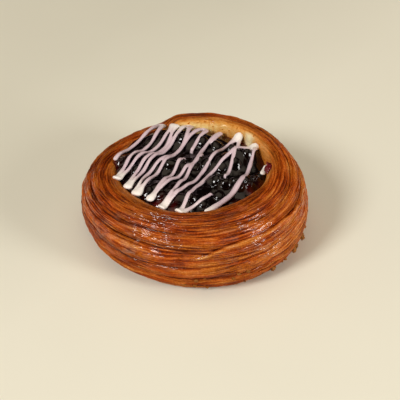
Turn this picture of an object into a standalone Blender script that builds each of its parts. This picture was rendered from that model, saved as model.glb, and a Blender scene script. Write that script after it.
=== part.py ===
"""A round danish pastry: a coiled ring of laminated dough, a well of berry filling, and piped icing.

The origin is at the middle of the underside, +Z is up, and -Y is the front. All sizes below are in
millimetres and degrees; angles round the ring start at +X and run anticlockwise seen from above.
"""

import math

import bmesh
import bpy
import numpy as np

MM = 0.001

# The dough ring: its outer bulge, its crest (the top line of the rim) and the foot it stands on.
BULGE_RADIUS = 53.6
BULGE_HEIGHT = 16.0
OVAL = 1.9  # how far the ring is longer along OVAL_AXIS and shorter across it
OVAL_AXIS = -36.0
FOOT_SHARE = 0.80  # radius of the flat underside, as a share of the bulge's
CREST_HEIGHT = 35.0
SHOULDER_POWER = 2.05  # 2 makes the shoulder an ellipse, and more makes it squarer

# How the crest rises and falls round the ring: centre, half width and height of each swell.
CREST_SWELLS = (
    (58.0, 50.0, 2.6),  # the proud far side
    (-10.0, 45.0, 2.2),  # the right side
    (-55.0, 35.0, 1.4),
    (150.0, 40.0, -2.4),  # the low shoulder left of the coil's end
)
COIL_END = 107.0  # where the strip of dough ends and the crest steps down
COIL_STEP = 3.4
COIL_STEP_WIDTH = 8.0
COIL_STEP_REACH = 60.0  # how far round the ring the step is felt

# The well, whose middle lies behind the ring's.
WELL_RADIUS = 35.0
WELL_X, WELL_Y = -1.0, 3.2
LIP_WIDTH = 5.5  # from the well's wall out to the crest
WIDE_LIP, WIDE_LIP_AT, WIDE_LIP_SPREAD = 3.6, 218.0, 38.0  # how much wider the lip is at the front left
LIP_DROP = 8.0  # from the crest down to where the wall stands upright
FLOOR_RADIUS = 30.0
FLOOR_HEIGHT = 17.0

# The strip's folds: rounded bands that climb one band for each turn round the ring.
FOLD_PITCH = 30.0  # degrees of the section's arc
FOLD_DEPTH = 1.3
FOLD_ROUNDNESS = 2.5  # how flat a fold's back is before it drops into the next groove
FOLD_RISE = 0.35  # the share of its depth that a fold's back stands out
FOLD_FADE = (-70.0, -45.0, 75.0, 95.0)  # the folds fade in and out between these angles of the section

# The filling.
GAP = 0.35  # between the icing and what it lies on
SIDE_GAP = 0.8  # between the filling and the dough, so that their facets stay clear
FILL_HEIGHT = 31.5
FILL_DOME = 1.0
EDGE_DROP = 1.0  # the filling's edge lies this far under its top, and at least this far under the crest
LUMP_STEEPNESS = 1.5
# Broad lumps in the filling's top: x, y, half length, half width, turn and height of each.
LUMPS = (
    (-22.0, 8.0, 18.5, 6.0, -15.0, 3.3),
    (-11.0, -14.0, 15.0, 7.0, -16.0, 3.4),
    (-7.0, 30.0, 20.0, 7.5, -10.0, 3.3),
    (16.0, 8.5, 11.5, 7.0, 0.0, 3.6),
    (12.5, -9.0, 5.0, 5.5, 0.0, 3.0),
    (24.5, -10.0, 9.5, 5.0, 26.0, 2.9),
    (-5.0, 2.0, 3.0, 5.0, 0.0, 2.6),
    (25.0, 13.0, 9.0, 4.5, 9.0, 3.2),
    (-8.5, -22.5, 11.5, 3.5, 0.0, 2.5),
)

# The icing: one zigzag line. Each turn of the piping nozzle is given by its distance along the strokes'
# lean and its distance across it. Each stroke between two turns bends across by a bow at its middle and
# a sway at its quarters.
STROKE_LEAN = 54.0
TURNS = (
    (-15.5, -36.0),
    (22.5, -36.0),
    (-27.3, -26.5),
    (24.5, -29.3),
    (-29.5, -17.6),
    (29.0, -23.8),
    (-31.5, -10.5),
    (30.5, -15.6),
    (-31.5, -3.0),
    (34.5, -8.5),
    (-33.0, 5.0),
    (36.8, 0.7),
    (-31.5, 13.5),
    (33.7, 12.5),
    (-22.5, 22.5),
)
BENDS = (
    (-0.5, 0.0),
    (-0.5, 1.0),
    (1.0, -0.5),
    (0.5, 2.0),
    (0.5, -0.5),
    (0.5, 2.5),
    (-0.5, 0.5),
    (0.5, -0.5),
    (2.5, 0.0),
    (-0.5, -1.5),
    (1.0, 1.5),
    (8.5, -0.5),
    (-5.0, 0.5),
    (6.0, -0.5),
)
DROP_ENDS = ((31.4, -1.8), (33.2, 4.0))  # a single drop fell beside the zigzag
DROP_WIDTH, DROP_TIP_WIDTH = 3.0, 2.6
STROKE_WIDTH = 2.2
STROKE_HEIGHT = 1.7
TURN_WIDTH = 3.6
TURN_SHARE = 0.22  # how much of a stroke widens towards each turn
TURN_EXTRA_HEIGHT = 0.35  # how much taller it is there, as a share
END_WIDTH_SHARE, END_HEIGHT_SHARE = 0.55, 0.75  # what is left of a bead's size at its rounded ends
END_LENGTH = 0.02  # how much of a stroke each rounded end takes
# A bead's outline, as shares of its width and its height.
BEAD_OUTLINE = ((-0.4, 0.0), (-0.5, 0.4), (-0.25, 1.0), (0.25, 1.0), (0.5, 0.4), (0.4, 0.0))

# How finely the solids are divided.
AROUND = 72
FOOT_RINGS, LOWER_RINGS, UPPER_RINGS, LIP_RINGS, WALL_RINGS, FLOOR_RINGS = 2, 7, 15, 5, 2, 2
FILL_SIDE_RINGS, FILL_TOP_RINGS = 5, 9
FILL_SIDE_SPACING = 0.6  # less than 1 sets the side's rings closer together towards its top
STROKE_PLACES = np.array([0.0, *np.linspace(END_LENGTH, 1.0 - END_LENGTH, 11), 1.0])
DROP_STEPS = 5
CLEARANCE_STEPS = 9  # places tested under a bead between one point and the next

CRUST = ("crust", (0.42, 0.13, 0.03, 1.0), 0.45)
BERRY_FILLING = ("berry_filling", (0.02, 0.008, 0.01, 1.0), 0.15)
ICING = ("icing", (0.80, 0.68, 0.70, 1.0), 0.40)


def turned(degrees, centre):
    """The angle from centre round to degrees, between -180 and 180."""
    return (degrees - centre + 180.0) % 360.0 - 180.0


def swell(degrees, centre, half_width):
    """A smooth bump round the ring, 1 at its centre."""
    return np.exp(-((turned(degrees, centre) / half_width) ** 2))


def smooth_step(value, low, high):
    share = np.clip((value - low) / (high - low), 0.0, 1.0)
    return share * share * (3.0 - 2.0 * share)


def bulge_radius(degrees):
    return BULGE_RADIUS + OVAL * np.cos(np.radians(2.0 * (degrees - OVAL_AXIS)))


def crest_height(degrees):
    swells = sum(rise * swell(degrees, centre, width) for centre, width, rise in CREST_SWELLS)
    past_end = smooth_step(turned(degrees, COIL_END), -COIL_STEP_WIDTH, COIL_STEP_WIDTH)
    return CREST_HEIGHT + swells - COIL_STEP * past_end * swell(degrees, COIL_END, COIL_STEP_REACH)


def crest_radius(degrees):
    angle = np.radians(degrees)
    return WELL_RADIUS + LIP_WIDTH + WELL_X * np.cos(angle) + WELL_Y * np.sin(angle)


def lip_width(degrees):
    return LIP_WIDTH + WIDE_LIP * swell(degrees, WIDE_LIP_AT, WIDE_LIP_SPREAD)


def well_radius(degrees):
    return crest_radius(degrees) - lip_width(degrees)


def fold_relief(degrees, arc):
    """How far the folds stand out at an angle round the ring and an angle of the section, 0 at the bulge."""
    wander = 0.35 * np.sin(np.radians(degrees + 20.0)) + 0.16 * np.sin(np.radians(3.0 * degrees))
    level = arc / FOLD_PITCH + degrees / 360.0 + wander
    across = 2.0 * (level % 1.0) - 1.0
    start, full, fading, end = FOLD_FADE
    share = smooth_step(arc, start, full) * (1.0 - smooth_step(arc, fading, end))
    return FOLD_DEPTH * share * (FOLD_RISE - np.abs(across) ** FOLD_ROUNDNESS)


def dough_section():
    """Radius and height of the dough's outline, from the foot to the well's floor, all round the ring."""
    degrees = np.linspace(0.0, 360.0, AROUND, endpoint=False)[:, None]
    bulge, crest, top = bulge_radius(degrees), crest_radius(degrees), crest_height(degrees)
    foot, wall, wall_top = FOOT_SHARE * bulge, well_radius(degrees), top - LIP_DROP

    share = np.linspace(0.0, 1.0, FOOT_RINGS + 1)[1:-1]
    foot_r, foot_z = foot * share, 0.0 * foot * share

    arc = np.linspace(-90.0, 0.0, LOWER_RINGS, endpoint=False)
    lean = np.radians(arc)
    lower_r = foot + (bulge - foot) * np.cos(lean)
    lower_z = BULGE_HEIGHT * (1.0 + np.sin(lean)) + 0.0 * degrees
    lower_fold = fold_relief(degrees, arc)

    arc = np.linspace(0.0, 90.0, UPPER_RINGS, endpoint=False)
    lean, power = np.radians(arc), 2.0 / SHOULDER_POWER
    upper_r = crest + (bulge - crest) * np.cos(lean) ** power
    upper_z = BULGE_HEIGHT + (top - BULGE_HEIGHT) * np.sin(lean) ** power
    upper_fold = fold_relief(degrees, arc)

    arc = np.linspace(90.0, 180.0, LIP_RINGS, endpoint=False)
    lean = np.radians(arc)
    lip_r = crest + (crest - wall) * np.cos(lean)
    lip_z = wall_top + LIP_DROP * np.sin(lean)
    lip_fold = fold_relief(degrees, arc)

    share = np.linspace(0.0, 1.0, WALL_RINGS + 1)
    wall_r = wall + (FLOOR_RADIUS - wall) * share
    wall_z = wall_top + (FLOOR_HEIGHT - wall_top) * share
    share = np.linspace(1.0, 0.0, FLOOR_RINGS + 1)[1:-1]
    floor_r, floor_z = FLOOR_RADIUS * share + 0.0 * degrees, FLOOR_HEIGHT + 0.0 * share + 0.0 * degrees

    radius = np.hstack([foot_r, lower_r, upper_r, lip_r, wall_r, floor_r])
    height = np.hstack([foot_z, lower_z, upper_z, lip_z, wall_z, floor_z])
    fold = np.hstack([0.0 * foot_r, lower_fold, upper_fold, lip_fold, 0.0 * wall_r, 0.0 * floor_r])
    slope_r, slope_z = np.gradient(radius, axis=1), np.gradient(height, axis=1)
    length = np.maximum(np.hypot(slope_r, slope_z), 1e-6)
    return degrees, radius + fold * slope_z / length, height - fold * slope_r / length


def inner_radius(degrees, height):
    """Radius of the dough's inner face, from the well's floor up to the crest."""
    wall, top = well_radius(degrees), crest_height(degrees)
    wall_top = top - LIP_DROP
    on_wall = FLOOR_RADIUS + (wall - FLOOR_RADIUS) * (height - FLOOR_HEIGHT) / (wall_top - FLOOR_HEIGHT)
    share = np.clip((height - wall_top) / LIP_DROP, 0.0, 0.95)
    on_lip = wall + lip_width(degrees) * (1.0 - np.sqrt(1.0 - share**2))
    return np.where(height < wall_top, on_wall, on_lip)


def filling_top(x, y):
    """Height of the filling's lumpy top."""
    reach = np.hypot(x - WELL_X, y - WELL_Y) / WELL_RADIUS
    height = FILL_HEIGHT + FILL_DOME * (1.0 - reach**2)
    for lump_x, lump_y, half_length, half_width, turn, rise in LUMPS:
        cos, sin = math.cos(math.radians(turn)), math.sin(math.radians(turn))
        along = ((x - lump_x) * cos + (y - lump_y) * sin) / half_length
        across = ((y - lump_y) * cos - (x - lump_x) * sin) / half_width
        height = height + rise * np.exp(-((along**2 + across**2) ** LUMP_STEEPNESS))
    return height


def filling_section():
    """Radius and height of the filling's outline, from its underside to the middle of its top."""
    degrees = np.linspace(0.0, 360.0, AROUND, endpoint=False)[:, None]
    angle = np.radians(degrees)
    rim = inner_radius(degrees, np.full_like(degrees, FILL_HEIGHT)) - SIDE_GAP
    rim_z = filling_top(rim * np.cos(angle), rim * np.sin(angle)) - EDGE_DROP
    rim_z = np.minimum(rim_z, crest_height(degrees) - EDGE_DROP)
    share = np.linspace(0.0, 1.0, FILL_SIDE_RINGS) ** FILL_SIDE_SPACING
    side_z = FLOOR_HEIGHT + GAP + (rim_z - FLOOR_HEIGHT - GAP) * share
    side_r = inner_radius(degrees, side_z) - SIDE_GAP
    side_r[:, -1:] = np.minimum(side_r[:, -1:], rim)
    share = np.linspace(1.0, 0.0, FILL_TOP_RINGS + 1)[1:-1]
    top_r = side_r[:, -1:] * share
    top_z = filling_top(top_r * np.cos(angle), top_r * np.sin(angle))
    return degrees, np.hstack([side_r, top_r]), np.hstack([side_z, top_z])


def turned_solid(name, degrees, radius, height, low, high):
    """One closed object from rings of points: the outline runs from the lower pole to the upper one."""
    angle = np.radians(degrees)
    points = np.stack([radius * np.cos(angle), radius * np.sin(angle), height], axis=-1) * MM
    shape = bmesh.new()
    grid = [[shape.verts.new(point) for point in ring] for ring in points]
    bottom, top = shape.verts.new((0.0, 0.0, low * MM)), shape.verts.new((0.0, 0.0, high * MM))
    for ring, following in zip(grid, grid[1:] + grid[:1]):
        shape.faces.new((bottom, following[0], ring[0]))
        for lower, upper, next_lower, next_upper in zip(ring, ring[1:], following, following[1:]):
            shape.faces.new((lower, next_lower, next_upper, upper))
        shape.faces.new((top, ring[-1], following[-1]))
    return finished(name, shape)


def finished(name, shape):
    mesh = bpy.data.meshes.new(name)
    shape.to_mesh(mesh)
    shape.free()
    mesh.shade_smooth()
    part = bpy.data.objects.new(name, mesh)
    bpy.context.scene.collection.objects.link(part)
    return part


def painted(part, name, colour, roughness):
    material = bpy.data.materials.new(name)
    material.use_nodes = True
    surface = material.node_tree.nodes["Principled BSDF"]
    surface.inputs["Base Color"].default_value = colour
    surface.inputs["Roughness"].default_value = roughness
    surface.inputs["Metallic"].default_value = 0.0
    material.diffuse_color = colour
    part.data.materials.append(material)
    return part


def make_dough():
    degrees, radius, height = dough_section()
    return turned_solid("dough", degrees, radius, height, 0.0, FLOOR_HEIGHT)


def make_filling():
    degrees, radius, height = filling_section()
    middle = float(filling_top(np.float64(0.0), np.float64(0.0)))
    return turned_solid("filling", degrees, radius, height, FLOOR_HEIGHT + GAP, middle)


def stroke_lines():
    """The middle line of each stroke, in x and y."""
    lean = math.radians(STROKE_LEAN)
    along, across = np.array((math.cos(lean), math.sin(lean))), np.array((math.sin(lean), -math.cos(lean)))
    turns = [u * along + v * across for u, v in TURNS]
    for start, end, (bow, sway) in zip(turns, turns[1:], BENDS):
        aside = bow * np.sin(np.pi * STROKE_PLACES) + sway * np.sin(2.0 * np.pi * STROKE_PLACES)
        yield start + np.outer(STROKE_PLACES, end - start) + np.outer(aside, across)


def dough_top(x, y):
    """Height of the dough's inner lip under a point, or 0 inside the wall."""
    degrees = np.degrees(np.arctan2(y, x))
    top, crest = crest_height(degrees), crest_radius(degrees)
    inward = np.clip((crest - np.hypot(x, y)) / lip_width(degrees), 0.0, 1.0)
    height = top - LIP_DROP + LIP_DROP * np.sqrt(1.0 - inward**2)
    return np.where(inward < 1.0, height, 0.0)


def headings(line):
    """The direction a line runs in at each of its points."""
    heading = np.gradient(line, axis=0)
    return heading / np.linalg.norm(heading, axis=1, keepdims=True)


def bead_sizes(share, width, turn_width):
    """A bead's widths and heights along its line: more near its turns, and less at its two rounded ends."""
    turning = np.clip(1.0 - np.minimum(share, 1.0 - share) / TURN_SHARE, 0.0, 1.0)
    widths = width + (turn_width - width) * turning
    heights = STROKE_HEIGHT * (1.0 + TURN_EXTRA_HEIGHT * turning)
    widths[[0, -1]] *= END_WIDTH_SHARE
    heights[[0, -1]] *= END_HEIGHT_SHARE
    return widths, heights


def resting_height(line, widths):
    """How high a bead's underside lies at each point of its line, to clear all it passes over on the way."""
    heading = headings(line)
    across = np.stack([-heading[:, 1], heading[:, 0]], axis=1)
    reach = np.linalg.norm(np.diff(line, axis=0), axis=1).max()
    place = np.arange(len(line))
    under = np.full(len(line), -np.inf)
    for ahead in np.linspace(-1.0, 1.0, CLEARANCE_STEPS):
        along = (np.clip(place + ahead, 0, len(line) - 1) - place) * reach
        for aside in (-0.5, 0.0, 0.5):
            x, y = (line + along[:, None] * heading + (aside * widths)[:, None] * across).T
            under = np.maximum(under, np.maximum(filling_top(x, y), dough_top(x, y)))
    return under + GAP


def make_bead(name, line, under_heights, sizes):
    """One flattened bead of icing along a line, with its underside at the given heights."""
    shape = bmesh.new()
    rings = []
    for point, (ahead_x, ahead_y), under, wide, tall in zip(line, headings(line), under_heights, *sizes):
        ring = []
        for across, up in BEAD_OUTLINE:
            x, y = point[0] - ahead_y * across * wide, point[1] + ahead_x * across * wide
            ring.append(shape.verts.new((x * MM, y * MM, (under + up * tall) * MM)))
        rings.append(ring)
    for ring, following in zip(rings, rings[1:]):
        for a, b, c, d in zip(ring, ring[1:] + ring[:1], following, following[1:] + following[:1]):
            shape.faces.new((a, b, d, c))
    shape.faces.new(rings[0][::-1])
    shape.faces.new(rings[-1])
    bmesh.ops.recalc_face_normals(shape, faces=shape.faces)
    return finished(name, shape)


def as_helper(part):
    part.hide_render = True
    part.display_type = "WIRE"
    return part


def make_zigzag():
    """Every stroke of the zigzag joined to the next, at one height where they meet."""
    lines = list(stroke_lines())
    sizes = bead_sizes(STROKE_PLACES, STROKE_WIDTH, TURN_WIDTH)
    under_heights = [resting_height(line, sizes[0]) for line in lines]
    for under, following in zip(under_heights, under_heights[1:]):
        under[-1] = following[0] = max(under[-1], following[0])
    icing = make_bead("icing", lines[0], under_heights[0], sizes)
    strokes = bpy.data.collections.new("icing_strokes")
    bpy.context.scene.collection.children.link(strokes)
    for number, (line, under) in enumerate(zip(lines[1:], under_heights[1:]), start=2):
        stroke = as_helper(make_bead(f"stroke_{number:02d}", line, under, sizes))
        bpy.context.scene.collection.objects.unlink(stroke)
        strokes.objects.link(stroke)
    joined = icing.modifiers.new("joined", "BOOLEAN")
    joined.operation, joined.solver = "UNION", "EXACT"
    joined.operand_type, joined.collection = "COLLECTION", strokes
    return icing


def make_drop():
    share = np.linspace(0.0, 1.0, DROP_STEPS)
    line = np.linspace(*DROP_ENDS, DROP_STEPS)
    sizes = bead_sizes(share, DROP_WIDTH, DROP_TIP_WIDTH)
    return make_bead("icing_drop", line, resting_height(line, sizes[0]), sizes)


def main():
    for part in list(bpy.data.objects):
        bpy.data.objects.remove(part)
    painted(make_dough(), *CRUST)
    painted(make_filling(), *BERRY_FILLING)
    painted(make_zigzag(), *ICING)
    painted(make_drop(), *ICING)


main()
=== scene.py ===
"""The looks of a round danish pastry: flaky glazed crust, a well of glossy berry filling, and piped icing.

Sizes are in millimetres and degrees, in the row's frame: +Z is up and -Y is the front. Angles round the
ring start at +X and run anticlockwise seen from above. A point's rise is its distance along the crust's
outline, up from the outer bulge.
"""

import math

import bmesh
import bpy
import numpy as np
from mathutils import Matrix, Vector, noise


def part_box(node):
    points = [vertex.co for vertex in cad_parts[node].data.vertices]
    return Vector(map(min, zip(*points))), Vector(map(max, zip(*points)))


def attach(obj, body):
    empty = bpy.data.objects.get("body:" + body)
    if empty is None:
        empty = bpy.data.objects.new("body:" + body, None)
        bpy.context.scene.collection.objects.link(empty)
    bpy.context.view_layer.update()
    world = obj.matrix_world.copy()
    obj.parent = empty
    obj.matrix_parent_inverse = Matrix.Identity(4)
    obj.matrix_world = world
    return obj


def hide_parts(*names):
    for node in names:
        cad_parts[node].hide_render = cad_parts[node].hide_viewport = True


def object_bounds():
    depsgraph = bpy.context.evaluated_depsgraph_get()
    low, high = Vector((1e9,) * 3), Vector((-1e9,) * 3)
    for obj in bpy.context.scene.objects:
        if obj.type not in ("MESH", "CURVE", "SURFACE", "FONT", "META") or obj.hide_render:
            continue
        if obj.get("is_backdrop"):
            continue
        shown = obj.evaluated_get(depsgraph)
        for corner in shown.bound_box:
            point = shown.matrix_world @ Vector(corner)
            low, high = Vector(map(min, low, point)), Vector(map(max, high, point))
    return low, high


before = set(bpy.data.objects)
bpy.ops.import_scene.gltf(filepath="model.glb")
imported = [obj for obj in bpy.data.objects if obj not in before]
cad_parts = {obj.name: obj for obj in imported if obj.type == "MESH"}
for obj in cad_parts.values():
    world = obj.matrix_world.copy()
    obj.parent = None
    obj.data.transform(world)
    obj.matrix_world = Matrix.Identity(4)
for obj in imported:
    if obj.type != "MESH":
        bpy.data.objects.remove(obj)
CAD_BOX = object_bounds()

MM = 0.001
(DOUGH_LOW, DOUGH_HIGH) = (Vector(corner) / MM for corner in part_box("dough"))

# The ring's shape, as the CAD makes it.
SIZE = (DOUGH_HIGH.x - DOUGH_LOW.x) / 109.2  # 1 at the CAD's own size
BULGE_RADIUS = 53.6 * SIZE
BULGE_HEIGHT = 16.0 * SIZE
OVAL, OVAL_AXIS = 1.9 * SIZE, -36.0
FOOT_SHARE = 0.80
CREST_HEIGHT = DOUGH_HIGH.z - 3.0 * SIZE
SHOULDER_POWER = 2.05
CREST_SWELLS = (  # centre, half width and height
    (58.0, 50.0, 2.6 * SIZE),
    (-10.0, 45.0, 2.2 * SIZE),
    (-55.0, 35.0, 1.4 * SIZE),
    (150.0, 40.0, -2.4 * SIZE),
)
COIL_END, COIL_STEP, COIL_STEP_WIDTH = 107.0, 3.4 * SIZE, 8.0
WELL_RADIUS = 35.0 * SIZE
WELL_X, WELL_Y = -1.0 * SIZE, 3.2 * SIZE
LIP_WIDTH, LIP_DROP = 5.5 * SIZE, 8.0 * SIZE
WIDE_LIP, WIDE_LIP_AT, WIDE_LIP_SPREAD = 3.6 * SIZE, 218.0, 38.0
FLOOR_RADIUS, FLOOR_HEIGHT = 30.0 * SIZE, 17.0 * SIZE

# The filling's top, as the CAD makes it: x, y, half length, half width, turn and height of each broad lump.
FILL_HEIGHT, FILL_DOME = 31.5 * SIZE, 1.0 * SIZE
LUMPS = (
    (-22.0, 8.0, 18.5, 6.0, -15.0, 3.3),
    (-11.0, -14.0, 15.0, 7.0, -16.0, 3.4),
    (-7.0, 30.0, 20.0, 7.5, -10.0, 3.3),
    (16.0, 8.5, 11.5, 7.0, 0.0, 3.6),
    (12.5, -9.0, 5.0, 5.5, 0.0, 3.0),
    (24.5, -10.0, 9.5, 5.0, 26.0, 2.9),
    (-5.0, 2.0, 3.0, 5.0, 0.0, 2.6),
    (25.0, 13.0, 9.0, 4.5, 9.0, 3.2),
    (-8.5, -22.5, 11.5, 3.5, 0.0, 2.5),
)

# The icing's zigzag, close to the CAD's: its turns, along and across the strokes' lean, and each stroke's
# bow and sway.
STROKE_LEAN = 54.0
TURNS = (
    (-15.5, -36.0), (22.5, -36.0), (-27.3, -25.6), (24.7, -29.3), (-29.5, -17.0),
    (29.0, -23.8), (-31.5, -10.5), (30.5, -15.6), (-31.5, -3.0), (34.5, -8.5),
    (-33.0, 5.0), (37.7, 0.5), (-31.5, 13.5), (34.6, 12.2), (-22.5, 22.5),
)
BENDS = (
    (-0.5, 0.0), (-0.5, 1.0), (1.0, -0.5), (0.5, 2.0), (0.5, -0.5), (0.5, 2.5), (-0.5, 0.5),
    (0.5, -0.5), (2.5, 0.0), (-0.5, -1.5), (1.0, 1.5), (8.5, -0.5), (-5.0, 0.5), (6.0, -0.5),
)
DROP_ENDS = ((31.9, -2.2), (34.5, 4.4))

# The strip of dough: its overlapping bands and the fine layers that show at its cut edge.
BAND_WIDTH = 7.5 * SIZE
BAND_PHASE = 0.41
LAYERS_IN_BAND = 5
BAND_CLIMB = 1  # bands that the strip climbs in one turn
STRIP_SWAY, STRIP_SWAY_FROM = 3.0 * SIZE, 300.0
BAND_DEPTH = 1.25 * SIZE
LAYER_DEPTH = 0.50 * SIZE

# The flap: a lens of smoother dough that lifts off the front of the ring, painted paler towards its raised
# upper edge: partly its own paler colour, partly painted highlight.
FLAP_START, FLAP_LENGTH = 268.0, 72.0
FLAP_HALF_WIDTH, FLAP_LIFT = 2.5 * SIZE, 0.9 * SIZE

# How finely the pieces are divided.
AROUND = 300
FOOT_RINGS, LOWER_RINGS, UPPER_RINGS, LIP_RINGS, WALL_RINGS = 2, 76, 172, 60, 5
JAM_AROUND, JAM_RINGS = 400, 190

# Where the glaze is thickest: angle, half width, distance up from the bulge, and spread across it.
GLOSSY_PLACES = (
    (240.0, 15.0, 17.5, 6.5), (226.0, 22.0, 4.5, 5.5), (298.0, 20.0, 12.0, 10.0), (188.0, 16.0, 11.5, 6.0),
    (345.0, 14.0, 11.0, 5.0), (28.0, 10.0, 24.0, 5.0), (66.0, 18.0, 9.0, 6.0), (112.0, 16.0, 15.0, 6.0),
    (148.0, 16.0, 5.0, 6.0), (72.0, 5.0, 34.0, 3.0),
)

# A thin smear of icing on the far wall, and the upright creases of the wall: angle and depth.
SMEAR_AT, SMEAR_SPREAD = 44.0, 5.0
WALL_CREASES = (
    (80.0, 0.5), (84.5, 0.8), (88.0, 1.0), (91.5, 0.7), (95.0, 0.9), (99.0, 0.5), (70.0, 0.4), (57.0, 0.5),
)
CREASE_DEPTH = 0.45 * SIZE

# The crust's colours round the ring: angle and half width.
PALE_SIDE, DARK_SIDE, DIM_FRONT = (-15.0, 40.0), (190.0, 30.0), (262.0, 70.0)
GOLDEN_BACK, GOLDEN_LEFT, CREAM_BACK = (84.0, 58.0), (200.0, 30.0), (96.0, 24.0)
DIM_FROM, DIM_TO = 17.0 * SIZE, 25.0 * SIZE


# --- Shape functions ------------------------------------------------------------------------------


def turned(degrees, centre):
    """The angle from centre round to degrees, between -180 and 180."""
    return (degrees - centre + 180.0) % 360.0 - 180.0


def swell(degrees, centre, half_width):
    return np.exp(-((turned(degrees, centre) / half_width) ** 2))


def smooth_step(value, low, high):
    share = np.clip((value - low) / (high - low), 0.0, 1.0)
    return share * share * (3.0 - 2.0 * share)


def bulge_radius(degrees):
    return BULGE_RADIUS + OVAL * np.cos(np.radians(2.0 * (degrees - OVAL_AXIS)))


def crest_height(degrees):
    height = CREST_HEIGHT + sum(rise * swell(degrees, centre, width) for centre, width, rise in CREST_SWELLS)
    past_end = smooth_step(turned(degrees, COIL_END), -COIL_STEP_WIDTH, COIL_STEP_WIDTH)
    return height - COIL_STEP * past_end * swell(degrees, COIL_END, 60.0)


def lip_width(degrees):
    return LIP_WIDTH + WIDE_LIP * swell(degrees, WIDE_LIP_AT, WIDE_LIP_SPREAD)


def well_radius(degrees):
    """Radius of the well's wall, which stands further in where the lip is wide."""
    angle = np.radians(degrees)
    crest = WELL_RADIUS + LIP_WIDTH + WELL_X * np.cos(angle) + WELL_Y * np.sin(angle)
    return crest - lip_width(degrees)


def wave_table(cells_around, cells_across, seed):
    return np.random.default_rng(seed).random((cells_around, cells_across))


def noise_sheet(degrees, across, around_cells, across_size, seed):
    """Smooth noise from -1 to 1 that wraps round the ring, with cells across_size wide across it."""
    table = wave_table(around_cells, 257, seed)
    x = (degrees / 360.0 * around_cells) % around_cells
    y = across / across_size + 128.0
    x0, y0 = np.floor(x).astype(int), np.floor(y).astype(int)
    fx, fy = x - x0, y - y0
    fx, fy = fx * fx * (3.0 - 2.0 * fx), fy * fy * (3.0 - 2.0 * fy)
    x1 = (x0 + 1) % around_cells
    x0, y0, y1 = x0 % around_cells, y0 % 257, (y0 + 1) % 257
    low = table[x0, y0] * (1.0 - fx) + table[x1, y0] * fx
    high = table[x0, y1] * (1.0 - fx) + table[x1, y1] * fx
    return 2.0 * (low * (1.0 - fy) + high * fy) - 1.0


def broad_top(x, y):
    """The filling's height without its berries."""
    x, y = x / SIZE, y / SIZE
    reach = np.hypot(x - WELL_X / SIZE, y - WELL_Y / SIZE) / (WELL_RADIUS / SIZE)
    height = FILL_HEIGHT / SIZE + FILL_DOME / SIZE * (1.0 - reach**2)
    for lump_x, lump_y, half_length, half_width, turn, rise in LUMPS:
        cos, sin = math.cos(math.radians(turn)), math.sin(math.radians(turn))
        along = ((x - lump_x) * cos + (y - lump_y) * sin) / half_length
        across = ((y - lump_y) * cos - (x - lump_x) * sin) / half_width
        height = height + rise * np.exp(-((along**2 + across**2) ** 1.5))
    return height * SIZE


def inner_radius(degrees, height):
    """Radius of the dough's inner face, from the well's floor up to the crest."""
    wall, top = well_radius(degrees), crest_height(degrees)
    wall_top = top - LIP_DROP
    on_wall = FLOOR_RADIUS + (wall - FLOOR_RADIUS) * (height - FLOOR_HEIGHT) / (wall_top - FLOOR_HEIGHT)
    share = np.clip((height - wall_top) / LIP_DROP, 0.0, 0.97)
    on_lip = wall + lip_width(degrees) * (1.0 - np.sqrt(1.0 - share**2))
    return np.where(height < wall_top, on_wall, on_lip)


def lip_top(x, y):
    """Height of the dough's inner lip under a point, or 0 inside the wall."""
    degrees = np.degrees(np.arctan2(y, x))
    top, wide = crest_height(degrees), lip_width(degrees)
    inward = np.clip((well_radius(degrees) + wide - np.hypot(x, y)) / wide, 0.0, 1.0)
    return np.where(inward < 1.0, top - LIP_DROP + LIP_DROP * np.sqrt(1.0 - inward**2), 0.0)


# --- Mesh helpers ---------------------------------------------------------------------------------


def mesh_object(name, points, faces, attributes=None):
    """An object from points in millimetres and lists of corner numbers, with attributes on its points."""
    mesh = bpy.data.meshes.new(name)
    mesh.from_pydata((np.asarray(points) * MM).tolist(), [], faces)
    for key, values in (attributes or {}).items():
        values = np.asarray(values, dtype=np.float32)
        kind = "FLOAT" if values.ndim == 1 else "FLOAT_VECTOR"
        field = "value" if values.ndim == 1 else "vector"
        mesh.attributes.new(key, kind, "POINT").data.foreach_set(field, values.ravel())
    mesh.shade_smooth()
    piece = bpy.data.objects.new(name, mesh)
    bpy.context.scene.collection.objects.link(piece)
    return piece


def ring_faces(around, rings):
    """Quads of a grid of rings x around points that closes round the ring."""
    first = np.arange(rings - 1)[:, None] * around
    here, there = np.arange(around), (np.arange(around) + 1) % around
    quads = np.stack([first + here, first + there, first + around + there, first + around + here], axis=-1)
    return quads.reshape(-1, 4).tolist()


def settled(piece, name):
    """The piece with its modifiers applied, as a new mesh object."""
    depsgraph = bpy.context.evaluated_depsgraph_get()
    mesh = bpy.data.meshes.new_from_object(piece.evaluated_get(depsgraph))
    bpy.data.objects.remove(piece)
    mesh.name = name
    done = bpy.data.objects.new(name, mesh)
    bpy.context.scene.collection.objects.link(done)
    mesh.shade_smooth()
    return done


# --- Materials ------------------------------------------------------------------------------------


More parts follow.
